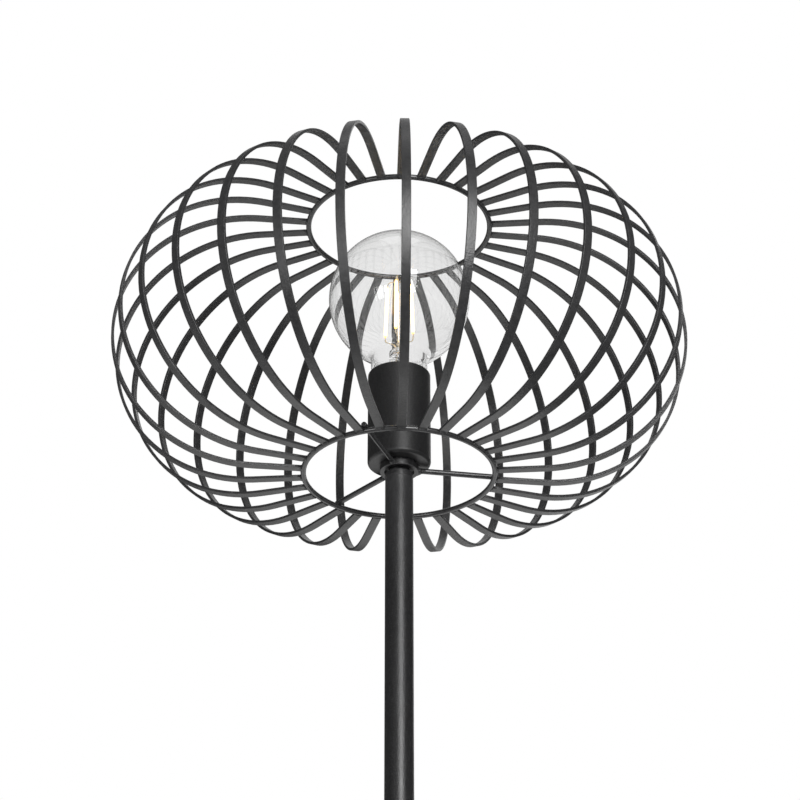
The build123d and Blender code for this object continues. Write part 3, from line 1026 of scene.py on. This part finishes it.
@dataclass
class Pole(Assembly):
    """Three tubes, the collar on top and the cord inlet."""

    wall: float = 1 * MM
    edge: float = 0.35 * MM
    neck_radius: float = 7 * MM
    thread_radius: float = 5 * MM
    collar_height: float = 4 * MM
    inlet_neck: float = 8.4 * MM
    drill_short: float = 4 * MM

    def tubes(self) -> None:
        """Turn the tubes; the lowest is drilled for the inlet."""
        for number in (1, 2, 3):
            it, e = Envelope.of(f"pole_tube_{number}"), self.edge
            inner = it.radius - self.wall
            corners = [
                (it.radius, it.bottom, e), *[(it.radius, it.level(k / 6), 0) for k in range(1, 6)],
                (it.radius, it.top, e), (inner, it.top, e), (inner, it.bottom, e),
            ]
            piece = lathe(f"pole_section_{number}", rounded(corners, 3))
            if number == 1:
                piece = self.drilled(piece)
            self.keep(piece, Finishes.COAT, f"pole_tube_{number}")

    def drilled(self, tube: Piece) -> Piece:
        """Cut the cord's hole in the back of the lowest tube.

        Args:
            tube: the tube; it is replaced.

        Returns:
            The drilled tube.
        """
        low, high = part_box("cord_inlet_bush")
        work = bmesh.new()
        place = Matrix.Translation((0, high.y, (low.z + high.z) / 2)) @ Matrix.Rotation(math.pi / 2, 4, "X")
        bmesh.ops.create_cone(
            work, cap_ends=True, segments=32, radius1=self.inlet_neck / 2, radius2=self.inlet_neck / 2,
            depth=2 * high.y - self.drill_short, matrix=place,
        )
        drill = cast("drill", work)
        cut = tube.modifiers.new("cord_hole", "BOOLEAN")
        cut.operation, cut.object, cut.solver = "DIFFERENCE", drill, "EXACT"
        made = plain(tube)
        bpy.data.objects.remove(drill)
        return made

    def collar(self) -> None:
        """Turn the top bush: collar on the tube, neck under the hub."""
        it, tube, e = Envelope.of("pole_top_bush"), Envelope.of("pole_tube_3"), self.edge
        collar_top = tube.top + self.collar_height
        inner = tube.radius - self.wall
        self.turn("pole_collar", "pole_top_bush", Finishes.COAT, [
            (self.thread_radius, it.bottom, 0), (inner, it.bottom, e), (inner, tube.top, 0),
            (tube.radius, tube.top, e), (tube.radius, collar_top, 2 * e), (self.neck_radius, collar_top, 0),
            (self.neck_radius, it.top, 0), (self.thread_radius, it.top, 0),
        ], 4)

    def inlet(self) -> None:
        """Ease the edges of the rubber bush."""
        piece = softened("cord_inlet", "cord_inlet_bush", self.edge, 3)
        self.keep(piece, Finishes.RUBBER, "cord_inlet_bush")

    def build(self) -> None:
        """Build all of the pole."""
        self.tubes()
        self.collar()
        self.inlet()


@dataclass
class Base(Assembly):
    """Steel plate, felt and screw."""

    edge: float = 1.2 * MM
    hole_radius: float = 5.5 * MM
    sink_radius: float = 9.5 * MM
    sink_depth: float = 5 * MM
    felt_hole: float = 15 * MM
    felt_softness: float = 0.8 * MM
    felt_waver: float = 0.0012
    screw_edge: float = 0.25 * MM

    def plate(self) -> None:
        """Turn the plate, with rings across its top for an even surface."""
        it = Envelope.of("base_plate")
        rings = [it.radius * share for share in (0.2, 0.4, 0.6, 0.8)]
        self.turn("base_disc", "base_plate", Finishes.BASE_COAT, [
            (self.hole_radius, it.top, 0), *[(r, it.top, 0) for r in rings], (it.radius, it.top, self.edge),
            (it.radius, it.bottom, self.edge), *[(r, it.bottom, 0) for r in reversed(rings)],
            (self.sink_radius, it.bottom, 0), (self.hole_radius, it.bottom + self.sink_depth, 0),
        ], 6, 160)

    def felt(self) -> None:
        """Turn the felt with soft edges and a slightly uneven rim."""
        it, soft = Envelope.of("base_felt"), self.felt_softness
        corners = [
            (self.felt_hole, it.top, 0), (it.radius, it.top, soft / 2),
            (it.radius, it.bottom, soft), (self.felt_hole, it.bottom, soft),
        ]
        piece = lathe("base_felt_disc", rounded(corners, 4), 144)
        for vertex in piece.data.vertices:
            angle = math.atan2(vertex.co.y, vertex.co.x)
            vertex.co.xy *= 1 - self.felt_waver * (1 + math.sin(7 * angle) * math.cos(19 * angle))
        self.keep(piece, Finishes.FELT, "base_felt")

    def screw(self) -> None:
        """Ease the edges of the countersunk screw."""
        piece = softened("base_socket_screw", "base_screw", self.screw_edge)
        self.keep(piece, Finishes.ZINC, "base_screw")

    def build(self) -> None:
        """Build all of the base."""
        self.plate()
        self.felt()
        self.screw()


@dataclass
class Lampholder(Assembly):
    """Drawn cover; what is inside it keeps its CAD shape."""

    wall: float = 1 * MM
    edge_radius: float = 2.5 * MM
    rim: float = 0.45 * MM
    hole_radius: float = 5.5 * MM

    def build(self) -> None:
        """Turn the drawn cup with its rounded lower edge and thin rim."""
        it, w = Envelope.of("holder_cover"), self.wall
        self.turn("lampholder_cup", "holder_cover", Finishes.HOLDER_COAT, [
            (self.hole_radius, it.bottom, 0), (it.radius, it.bottom, self.edge_radius),
            *[(it.radius, it.level(share), 0) for share in (0.4, 0.7)],
            (it.radius, it.top, self.rim), (it.radius - w, it.top, self.rim),
            (it.radius - w, it.bottom + w, self.edge_radius - w), (self.hole_radius, it.bottom + w, 0),
        ], 8, 128)


@dataclass
class Bulb(Assembly):
    """Clear globe bulb with four lit filaments."""

    BODY = "bulb"

    wall: float = 0.8 * MM
    globe_radius: float = 49.6 * MM
    globe_rise: float = 1.1 * MM
    globe_steps: int = 64
    neck_radius: float = 19.6 * MM
    neck_fillet: float = 5 * MM
    cap_bore: float = 12.6 * MM
    cap_mouth: float = 11 * MM
    cap_taper: float = 2.5 * MM
    cap_rise: float = 3 * MM
    cap_wall: float = 0.4 * MM
    cap_rows: int = 90
    pitch: float = 25.4 * MM / 7
    thread_height: float = 0.7 * MM
    stem_radius: float = 7 * MM
    stem_wall: float = 1 * MM
    stem_taper: float = 5 * MM
    stem_foot: float = 11.8 * MM
    flare_height: float = 9 * MM
    rod_radius: float = 1.3 * MM
    filament_count: int = 4
    filament_width: float = 2.2 * MM
    foot_radius: float = 10 * MM
    head_radius: float = 8.5 * MM
    foot_rise: float = 9 * MM
    phase: float = math.radians(-14)
    wire: float = 0.9 * MM
    winding_turns: int = 3
    winding_steps: int = 60
    winding_radii: Point = (2.6 * MM, 1.5 * MM)
    winding_heights: Point = (-1.8 * MM, 2.8 * MM)

    def __post_init__(self) -> None:
        """Read the heights of glass, cap, stem and filaments."""
        glass, filaments = Envelope.of("bulb_glass"), Envelope.of("led_filaments")
        self.globe_z = glass.top + self.globe_rise - self.globe_radius
        self.seal_bottom = glass.bottom
        self.cap_top = Envelope.of("bulb_cap").top
        self.rod_top = Envelope.of("bulb_stem").top
        self.foot_z, self.head_z = filaments.bottom, filaments.top
        self.stem_top = self.foot_z - self.foot_rise

    def skin(self, inset: float) -> list[Point]:
        """Draw the half section of the glass, from the seal up to the pole.

        Args:
            inset: how far it is drawn in from the outside.

        Returns:
            The section's points.
        """
        shoulder = self.neck_radius - self.cap_bore
        shoulder_z = self.cap_top + shoulder
        across = self.neck_radius + self.neck_fillet
        drop = math.sqrt((self.globe_radius + self.neck_fillet) ** 2 - across**2)
        fillet_z = self.globe_z - drop
        lean = math.degrees(math.atan2(-drop, across))
        side, bore = self.neck_radius - inset, self.cap_bore - inset
        return [
            (bore, self.seal_bottom), (bore, self.cap_top),
            *arc((self.cap_bore, shoulder_z), shoulder - inset, -90, 0, 8),
            *[(side, shoulder_z + (fillet_z - shoulder_z) * k / 3) for k in (1, 2)],
            *arc((across, fillet_z), self.neck_fillet + inset, 180, 180 + lean, 12),
            *arc((0.0, self.globe_z), self.globe_radius - inset, lean, 90, self.globe_steps)[1:-1],
            (0.0, self.globe_z + self.globe_radius - inset),
        ]

    def glass(self) -> None:
        """Turn the globe as a thin closed wall."""
        outline = self.skin(0.0) + self.skin(self.wall)[::-1]
        self.keep(lathe("globe_glass", outline, 144), Finishes.GLOBE, "bulb_glass")

    def stem(self) -> None:
        """Turn the flare, the hollow stem and the rod above its pinch."""
        low, foot, side, rod = self.seal_bottom, self.stem_foot, self.stem_radius, self.rod_radius
        shoulder, flare_top = self.stem_top - self.stem_taper, self.seal_bottom + self.flare_height
        bore, hollow_top = side - self.stem_wall, shoulder - self.stem_wall
        self.turn("stem_glass", "bulb_stem", Finishes.STEM, [
            (foot, low, 0), (foot, low + 1.6 * MM, 0.8 * MM), (foot - 2.4 * MM, low + 3.4 * MM, 0.8 * MM),
            (side + 0.5 * MM, low + 6.5 * MM, 0), (side, flare_top, 2 * MM), (side, shoulder, 2.5 * MM),
            (rod, self.stem_top, 1.2 * MM), (rod, self.rod_top, rod * 0.95), (0.0, self.rod_top, 0),
            (0.0, hollow_top, 0), (bore, hollow_top, 3 * MM), (bore, flare_top, 2 * MM),
            (foot - 3 * MM, low + 3 * MM, 1 * MM), (foot - self.stem_wall, low, 0),
        ], 5, 72)

    def winding(self) -> list[Vector]:
        """Wind a wire round the stem's tip, drawn in towards its top."""
        (first, last), (low, high) = self.winding_radii, self.winding_heights
        path = []
        for share in (k / self.winding_steps for k in range(self.winding_steps + 1)):
            radius, turn = first + (last - first) * share, TAU * self.winding_turns * share
            height = self.stem_top + low + (high - low) * share
            path.append(Vector((radius * math.cos(turn), radius * math.sin(turn), height)))
        return path

    def supports(self) -> None:
        """Bend the wires that carry and feed the filaments."""
        top, foot, head, rod = self.stem_top, self.foot_z, self.head_z, self.rod_top
        feet = smooth_path([
            (1.6 * MM, 0, top - 3.4 * MM), (2.4 * MM, 0, top - 0.6 * MM), (5.2 * MM, 0, top + 2.2 * MM),
            (9.0 * MM, 0.8 * MM, top + 4.2 * MM), (self.foot_radius + 0.1 * MM, 0, foot - 2.2 * MM),
            (self.foot_radius, 0, foot + 0.8 * MM),
        ])
        heads = smooth_path([
            (0.5 * MM, 0, rod - 1.2 * MM), (2.2 * MM, 0, rod - 0.6 * MM),
            (5.4 * MM, -0.5 * MM, rod + 0.2 * MM), (self.head_radius - 0.4 * MM, 0, rod - 1.4 * MM),
            (self.head_radius, 0, head - 0.8 * MM),
        ])
        leads = smooth_path([
            (1.1 * MM, 0, top - 4 * MM), (1.6 * MM, 0.4 * MM, top - 9 * MM), (3.4 * MM, 0, top - 16 * MM),
            (4.6 * MM, -0.4 * MM, self.seal_bottom + 2 * MM),
        ])
        for name, nodes, path, share, count, phase in (
            ("filament_feet_wires", ["filament_supports"], feet, 1.0, self.filament_count, self.phase),
            ("filament_head_wires", [], heads, 0.7, self.filament_count, self.phase),
            ("stem_top_winding", [], self.winding(), 0.6, 1, 0.0),
            ("lead_in_wires", [], leads, 0.6, 2, self.phase),
        ):
            self.sweep(name, nodes, Finishes.SUPPORT, path, self.wire * share, count=count, phase=phase)

    def filaments(self) -> None:
        """Sweep the glowing rods with rounded ends."""
        foot, head = Vector((self.foot_radius, 0, self.foot_z)), Vector((self.head_radius, 0, self.head_z))
        stops = (0.0, 0.008, 0.025, 0.06, 0.5, 0.94, 0.975, 0.992, 1.0)
        path = [foot.lerp(head, stop) for stop in stops]
        self.sweep(
            "lit_filaments", ["led_filaments"], Finishes.PHOSPHOR, path, self.filament_width,
            edge_steps=4, count=self.filament_count, phase=self.phase,
            tapers={0: 0.45, 1: 0.75, 2: 0.95, 6: 0.95, 7: 0.75, 8: 0.45},
        )

    def cap(self) -> None:
        """Roll the cap's thread."""
        it = Envelope.of("bulb_cap")
        rows = [it.level(k / self.cap_rows) for k in range(self.cap_rows + 1)]
        shares = [min((z - it.bottom) / self.cap_taper, 1.0) for z in rows]
        outer = [(self.cap_mouth + (it.radius - self.cap_mouth) * share, z) for share, z in zip(shares, rows)]
        inner = [(r - self.cap_wall, z) for r, z in outer]
        thread = Thread(self.pitch, self.thread_height, it.bottom + self.cap_taper, it.top - self.cap_rise)
        self.keep(lathe("threaded_cap", outer + inner[::-1], thread=thread), Finishes.CAP, "bulb_cap")

    def build(self) -> None:
        """Build all of the bulb."""
        self.glass()
        self.stem()
        self.supports()
        self.filaments()
        self.cap()


class CadParts:
    """Dresses the CAD nodes that stay as they are."""

    NODES = {
        Finishes.ZINC: ("pole_bushes", "pole_nipples", "holder_nipple", "lock_nut", "terminal_screws"),
        Finishes.SHEATH: ("inner_lead",),
        Finishes.CORES: ("conductors",),
        Finishes.PHENOLIC: ("holder_base", "holder_skirt"),
        Finishes.CERAMIC: ("holder_insert",),
        Finishes.BRASS: ("holder_shell", "centre_contact", "terminal_plates"),
        Finishes.BLACK_GLASS: ("bulb_cap_insulator",),
        Finishes.SOLDER: ("bulb_tip_contact",),
        Finishes.BOARD: ("bulb_driver_board",),
    }

    def build(self) -> None:
        """Give each kept node its finish."""
        for finish, nodes in self.NODES.items():
            for node in nodes:
                finish.apply(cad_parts[node])
                log.info("%s keeps its CAD shape", node)


# --------------------------------------------------------------------- studio
@dataclass(frozen=True)
class Softbox:
    """An area lamp: where it hangs round the cage, its size and its power."""

    name: str
    azimuth: float
    elevation: float
    distance: float
    width: float
    height: float
    power: float


@dataclass
class Studio:
    """Floor, lamps, world and camera."""

    floor_radius: float = 6.0
    floor_colour: Triple = (0.86, 0.86, 0.85)
    floor_roughness: float = 0.9
    floor_fade: Point = (1.3, 4.6)
    world_light: float = 0.75
    hood_radius: float = 5.0
    hood_floor_deg: float = -12.0
    hood_gap: Point = (145.0, 173.0)
    hood_gap_top: float = 42.0
    hood_colour: Triple = (0.11, 0.11, 0.11)
    board_radii: Point = (0.25, 5.0)
    board_span: Point = (-90.0, 150.0)
    board_steps: int = 24
    board_height: float = 0.2
    board_colour: Triple = (0.05, 0.05, 0.05)
    camera_place: Triple = (0.0, -1.412, 0.5849)
    camera_pitch_deg: float = 29.278
    lens: float = 105.6
    shift_x: float = 0.001
    aim: Triple = (0.0, 0.0, 1.3)
    lamps: tuple[Softbox, ...] = (
        Softbox("key_softbox", 15.5, 5.0, 2.2, 1.1, 1.5, 58.0),
        Softbox("left_softbox", -30.0, -12.0, 2.2, 0.9, 0.8, 11.5),
        Softbox("top_softbox", 0.0, 84.0, 2.2, 1.2, 0.8, 2.6),
        Softbox("sweep_bounce", 188.0, -50.0, 1.3, 1.2, 0.8, 2.4),
        Softbox("back_top", 170.0, 50.0, 2.6, 1.6, 1.6, 5.6),
    )
    glow_power: float = 0.3
    glow_size: float = 0.02
    glow_colour: Triple = (1.0, 0.58, 0.28)
    glow_cone_deg: float = 95.0
    glow_blend: float = 0.5
    glow_back: Triple = (0.0, -0.6, -0.8)

    @staticmethod
    def staged(piece: Piece, material: Material) -> None:
        """Give a piece its material, kept from being sampled as a light source.

        Args:
            piece: the piece.
            material: its material.
        """
        material.cycles.emission_sampling = "NONE"
        piece.data.materials.append(material)

    def floor(self) -> None:
        """Lay a pale round floor that fades into the white background."""
        work = bmesh.new()
        bmesh.ops.create_circle(work, cap_ends=True, segments=96, radius=self.floor_radius)
        piece = cast("studio_floor", work)
        material = bpy.data.materials.new("pale_floor")
        nodes = Surface(material)
        nodes.paint({"Base Color": (*self.floor_colour, 1.0), "Roughness": self.floor_roughness})
        reach = nodes.add("ShaderNodeVectorMath", {0: nodes.where}, operation="LENGTH").outputs["Value"]
        share = nodes.times(nodes.ramp(reach, *self.floor_fade), nodes.seen())
        white = nodes.add("ShaderNodeEmission", {"Color": WHITE, "Strength": 1.0}).outputs[0]
        mixed = nodes.add("ShaderNodeMixShader", {0: share, 1: nodes.shader.outputs[0], 2: white})
        nodes.feed(nodes.output, {"Surface": mixed.outputs[0]})
        self.staged(piece, material)

    def flag(self, name: str, work: Work, place: Triple, colour: Triple) -> None:
        """Stand a grey board or hood in the studio that only gloss shows.

        Args:
            name: name of the object and its material.
            work: its mesh, faces towards the lamp.
            place: where the mesh's origin goes.
            colour: colour of its face; its back lets light through.
        """
        bmesh.ops.translate(work, verts=work.verts, vec=place)
        piece = cast(name, work)
        piece.visible_camera = piece.visible_diffuse = piece.visible_transmission = False
        piece.visible_shadow = piece.visible_volume_scatter = False
        material = bpy.data.materials.new(name)
        nodes = emptied(material)
        back = nodes.add("ShaderNodeNewGeometry").outputs["Backfacing"]
        front = nodes.add("ShaderNodeEmission", {"Color": (*colour, 1.0), "Strength": 1.0}).outputs[0]
        clear = nodes.add("ShaderNodeBsdfTransparent").outputs[0]
        mixed = nodes.add("ShaderNodeMixShader", {0: back, 1: front, 2: clear})
        nodes.add("ShaderNodeOutputMaterial", {"Surface": mixed.outputs[0]})
        self.staged(piece, material)

    def hood(self) -> None:
        """Hang a grey hood round the lamp, open below and low at the back right."""
        work = bmesh.new()
        bmesh.ops.create_uvsphere(work, u_segments=72, v_segments=36, radius=self.hood_radius)
        bmesh.ops.reverse_faces(work, faces=work.faces)
        low, high = self.hood_gap
        open_faces = []
        for face in work.faces:
            way = face.calc_center_median().normalized()
            azimuth = math.degrees(math.atan2(way.x, -way.y))
            elevation = math.degrees(math.asin(way.z))
            if elevation < self.hood_floor_deg or (low < azimuth < high and elevation < self.hood_gap_top):
                open_faces.append(face)
        bmesh.ops.delete(work, geom=open_faces, context="FACES")
        self.flag("studio_hood", work, self.aim, self.hood_colour)

    def board(self) -> None:
        """Lay a dark board over the floor in front and at the sides."""
        work = bmesh.new()
        first, last = self.board_span
        turns = [
            math.radians(first + (last - first) * k / self.board_steps) for k in range(self.board_steps + 1)
        ]
        inner, outer = [
            [work.verts.new((r * math.sin(a), -r * math.cos(a), 0.0)) for a in turns]
            for r in self.board_radii
        ]
        for near, far, far_next, near_next in zip(inner, outer, outer[1:], inner[1:]):
            work.faces.new((near, far, far_next, near_next))
        bmesh.ops.recalc_face_normals(work, faces=work.faces)
        if work.faces[:][0].normal.z < 0:
            bmesh.ops.reverse_faces(work, faces=work.faces)
        self.flag("studio_board", work, (0.0, 0.0, self.board_height), self.board_colour)

    def lights(self) -> None:
        """Hang the soft lamps."""
        for box in self.lamps:
            light = bpy.data.lights.new(box.name, "AREA")
            light.shape, light.energy = "RECTANGLE", box.power
            light.size, light.size_y = box.width, box.height
            a, e = math.radians(box.azimuth), math.radians(box.elevation)
            back = Vector((math.sin(a) * math.cos(e), -math.cos(a) * math.cos(e), math.sin(e)))
            lamp = linked(box.name, light)
            lamp.location = Vector(self.aim) + back * box.distance
            lamp.rotation_mode = "QUATERNION"
            lamp.rotation_quaternion = back.to_track_quat("Z", "Y")
            lamp.visible_camera = lamp.visible_transmission = False

    def glow(self) -> None:
        """Let the lit bulb warm the strips and the upper ring, and keep one lamp off the globe."""
        light = bpy.data.lights.new("bulb_glow", "SPOT")
        light.energy, light.shadow_soft_size, light.color = self.glow_power, self.glow_size, self.glow_colour
        light.spot_size, light.spot_blend = math.radians(self.glow_cone_deg), self.glow_blend
        light.use_shadow = False
        lamp = linked("bulb_glow", light)
        low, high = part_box("led_filaments")
        lamp.location = (low + high) / 2
        lamp.rotation_mode = "QUATERNION"
        lamp.rotation_quaternion = Vector(self.glow_back).to_track_quat("Z", "Y")
        lamp.visible_camera = lamp.visible_diffuse = lamp.visible_transmission = False
        lit = bpy.data.collections.new("lit_by_the_bulb")
        for name in ("cage_strips", "upper_ring_wire"):
            lit.objects.link(bpy.data.objects[name])
        lamp.light_linking.receiver_collection = lit
        kept_out = bpy.data.collections.new("not_lit_from_the_back_top")
        kept_out.objects.link(bpy.data.objects["globe_glass"])
        for entry in kept_out.collection_objects:
            entry.light_linking.link_state = "EXCLUDE"
        bpy.data.objects["back_top"].light_linking.receiver_collection = kept_out

    def world(self) -> None:
        """Set a world that is white to look at, in gloss and through glass, and softer as a light."""
        world = bpy.data.worlds.new("studio_world")
        nodes = emptied(world)
        soft, white = [
            nodes.add("ShaderNodeBackground", {"Color": WHITE, "Strength": strength}).outputs[0]
            for strength in (self.world_light, 1.0)
        ]
        mixed = nodes.add("ShaderNodeMixShader", {0: nodes.seen(), 1: soft, 2: white})
        nodes.add("ShaderNodeOutputWorld", {"Surface": mixed.outputs[0]})
        bpy.context.scene.world = world
        bpy.context.scene.view_settings.view_transform = "Standard"

    def camera(self) -> None:
        """Set the camera where the photograph was taken from."""
        lens = bpy.data.cameras.new("photo_camera")
        lens.lens, lens.sensor_width, lens.shift_x = self.lens, 36.0, self.shift_x
        lens.clip_start, lens.clip_end = 0.05, 50.0
        camera = linked("photo_camera", lens)
        camera.location = self.camera_place
        camera.rotation_euler = (math.radians(90 + self.camera_pitch_deg), 0, 0)
        bpy.context.scene.camera = camera

    def build(self) -> None:
        """Set up the studio, but for the glow of the bulb."""
        self.camera()
        self.floor()
        self.hood()
        self.board()
        self.lights()
        self.world()


def main() -> None:
    """Build the lamp and its studio, one sub-assembly after the other."""
    logging.basicConfig(level=logging.INFO, format="%(name)s %(message)s")
    studio = Studio()
    for assembly in (studio, Base(), Pole(), Cage(), Spider(), Lampholder(), Bulb(), CadParts()):
        log.info("building %s", type(assembly).__name__)
        assembly.build()
    studio.glow()


if __name__ == "__main__":
    main()
